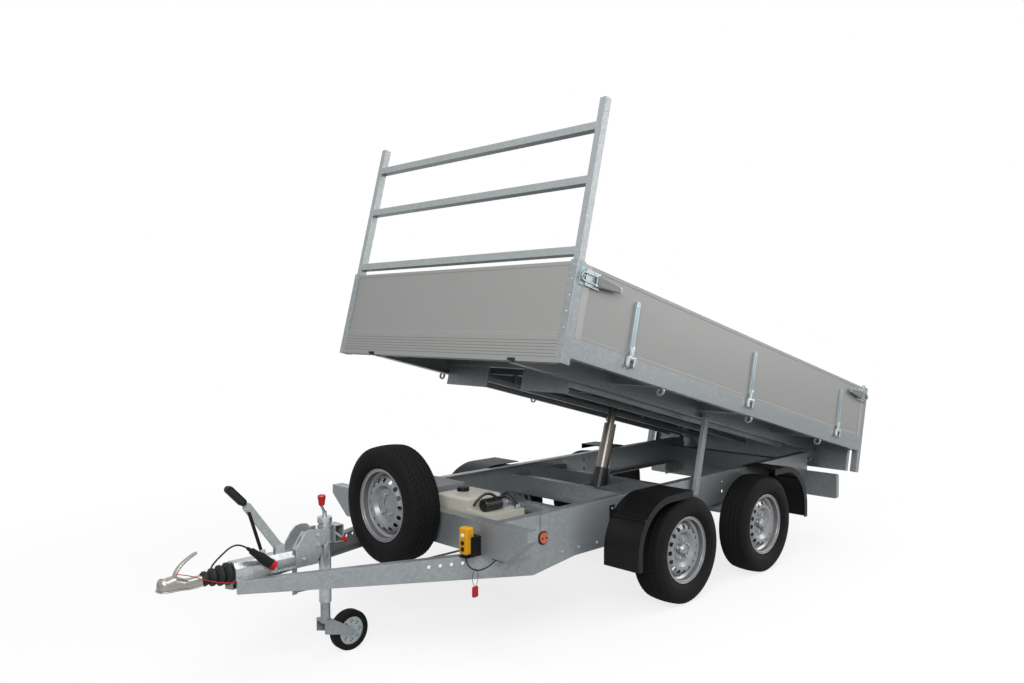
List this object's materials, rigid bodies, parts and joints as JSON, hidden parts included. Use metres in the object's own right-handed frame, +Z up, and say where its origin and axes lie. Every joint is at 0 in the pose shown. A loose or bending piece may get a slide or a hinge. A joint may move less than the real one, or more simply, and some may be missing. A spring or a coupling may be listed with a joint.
{
  "type": "tipper trailer",
  "caption": "Galvanised tandem-axle tipper trailer with aluminium dropsides, ladder rack, spare wheel and jockey wheel, bed part raised by its cylinder.",
  "frame": {"origin": "on the ground, in the middle of the trailer's box seen from above", "axes": "+X towards the tail, +Y to the right-hand side, +Z up"},
  "size_m": [4.8748, 1.926, 2.7571],
  "materials": {
    "anodised_aluminium": "satin anodised",
    "black_paint": "satin paint",
    "black_plastic": "moulded",
    "black_rubber": "moulded",
    "cream_plastic": "moulded",
    "galvanised_steel": "hot-dip galvanised, spangled",
    "grey_plastic": "moulded",
    "ground_chrome": "ground and plated",
    "lamp_plastic": "moulded lens",
    "red_sheath": "sheathed wire",
    "silver_paint": "silver wheel paint",
    "tyre_rubber": "moulded rubber",
    "yellow_plastic": "moulded",
    "zinc_plated_steel": "bright blue zinc plate"
  },
  "bodies": {
    "chassis": {"axles": "galvanised_steel", "battery_box": "grey_plastic", "bellows": "black_rubber", "breakaway_cable": "red_sheath", "coupling_head": "zinc_plated_steel", "cross_members": "galvanised_steel", "cylinder_cradle": "galvanised_steel", "drawbars": "galvanised_steel", "front_crossbeam": "galvanised_steel", "handbrake_grip": "black_plastic", "handbrake_lever": "galvanised_steel", "jockey_clamp": "galvanised_steel", "jockey_tube": "galvanised_steel", "lamp_bar": "galvanised_steel", "lamps": "lamp_plastic", "mudguards": "black_plastic", "overrun_housing": "galvanised_steel", "plug": "black_plastic", "plug_cable": "black_rubber", "pump_tank": "cream_plastic", "remote_cable": "black_rubber", "remote_control": "yellow_plastic", "remote_holder": "black_plastic", "remote_tag": "red_sheath", "side_rails": "galvanised_steel", "spare_holder": "galvanised_steel", "spare_rim": "silver_paint", "spare_tyre": "tyre_rubber", "tip_hinge_brackets": "galvanised_steel"},
    "wheel_front_left": {"wheel_front_left_rim": "silver_paint", "wheel_front_left_tyre": "tyre_rubber"},
    "wheel_front_right": {"wheel_front_right_rim": "silver_paint", "wheel_front_right_tyre": "tyre_rubber"},
    "wheel_rear_left": {"wheel_rear_left_rim": "silver_paint", "wheel_rear_left_tyre": "tyre_rubber"},
    "wheel_rear_right": {"wheel_rear_right_rim": "silver_paint", "wheel_rear_right_tyre": "tyre_rubber"},
    "jockey_leg": {"jockey_leg": "galvanised_steel"},
    "jockey_wheel": {"jockey_wheel_rim": "zinc_plated_steel", "jockey_wheel_tyre": "tyre_rubber"},
    "dropside_left": {"dropside_left": "anodised_aluminium", "dropside_left_hardware": "zinc_plated_steel"},
    "dropside_right": {"dropside_right": "anodised_aluminium", "dropside_right_hardware": "zinc_plated_steel"},
    "cylinder_barrel": {"cylinder_barrel": "black_paint"},
    "cylinder_stage_1": {"cylinder_stage_1": "ground_chrome"},
    "cylinder_stage_2": {"cylinder_stage_2": "ground_chrome"},
    "cylinder_rod": {"cylinder_rod": "ground_chrome"},
    "safety_prop": {"safety_prop": "galvanised_steel"},
    "bed": {"bed_long_beams": "galvanised_steel", "bed_cross_members": "galvanised_steel", "bed_floor": "galvanised_steel", "bed_side_rails": "galvanised_steel", "front_beam": "anodised_aluminium", "front_wall": "anodised_aluminium", "corner_posts": "galvanised_steel", "rear_beam": "galvanised_steel", "ladder_rack": "galvanised_steel", "tailgate": "anodised_aluminium", "ramp_rails": "galvanised_steel"}
  },
  "joints": [
    {"name": "wheel_front_left_spin", "type": "hinge", "parent": "chassis", "child": "wheel_front_left", "pos_m": [0.30765, -0.73, 0.3145], "axis": [0, 1, 0], "continuous": true},
    {"name": "wheel_front_right_spin", "type": "hinge", "parent": "chassis", "child": "wheel_front_right", "pos_m": [0.30765, 0.73, 0.3145], "axis": [0, 1, 0], "continuous": true},
    {"name": "wheel_rear_left_spin", "type": "hinge", "parent": "chassis", "child": "wheel_rear_left", "pos_m": [1.19765, -0.73, 0.3145], "axis": [0, 1, 0], "continuous": true},
    {"name": "wheel_rear_right_spin", "type": "hinge", "parent": "chassis", "child": "wheel_rear_right", "pos_m": [1.19765, 0.73, 0.3145], "axis": [0, 1, 0], "continuous": true},
    {"name": "jockey_swivel", "type": "hinge", "parent": "chassis", "child": "jockey_leg", "pos_m": [-1.61235, 0, 0.3], "axis": [0, 0, 1], "continuous": true},
    {"name": "jockey_wheel_spin", "type": "hinge", "parent": "jockey_leg", "child": "jockey_wheel", "pos_m": [-1.47735, 0, 0.1], "axis": [0, 1, 0], "continuous": true},
    {"name": "bed_tip", "type": "hinge", "parent": "chassis", "child": "bed", "pos_m": [2.21265, 0, 0.6], "axis": [0, 1, 0], "range_deg": [-14.1, 31.9]},
    {"name": "dropside_left_drop", "type": "hinge", "parent": "bed", "child": "dropside_left", "pos_m": [0.80583, -0.954, 1.15649], "axis": [0.9699, 0, -0.2436], "range_deg": [0, 175]},
    {"name": "dropside_right_drop", "type": "hinge", "parent": "bed", "child": "dropside_right", "pos_m": [0.80583, 0.954, 1.15649], "axis": [-0.9699, 0, 0.2436], "range_deg": [0, 175]},
    {"name": "prop_fold", "type": "hinge", "parent": "bed", "child": "safety_prop", "pos_m": [0.77418, -0.627, 1.04277], "axis": [0, 1, 0], "range_deg": [-88, 0]},
    {"name": "cylinder_lean", "type": "hinge", "parent": "chassis", "child": "cylinder_barrel", "pos_m": [0.38265, 0, 0.25], "axis": [0, 1, 0], "range_deg": [-3.99, 8.88]},
    {"name": "cylinder_stage_1_slide", "type": "slide", "parent": "cylinder_barrel", "child": "cylinder_stage_1", "axis": [0.2831, 0, 0.9591], "range_m": [-0.13209, 0.29758]},
    {"name": "cylinder_stage_2_slide", "type": "slide", "parent": "cylinder_stage_1", "child": "cylinder_stage_2", "axis": [0.2831, 0, 0.9591], "range_m": [-0.13209, 0.29758]},
    {"name": "cylinder_rod_slide", "type": "slide", "parent": "cylinder_stage_2", "child": "cylinder_rod", "axis": [0.2831, 0, 0.9591], "range_m": [-0.13209, 0.29758]}
  ],
  "couplings": [
    {"joint": "cylinder_lean", "follows": "bed_tip", "ratio": 0.27474},
    {"joint": "cylinder_stage_1_slide", "follows": "bed_tip", "m_per_rad": 0.53269},
    {"joint": "cylinder_stage_2_slide", "follows": "bed_tip", "m_per_rad": 0.53269},
    {"joint": "cylinder_rod_slide", "follows": "bed_tip", "m_per_rad": 0.53269}
  ]
}
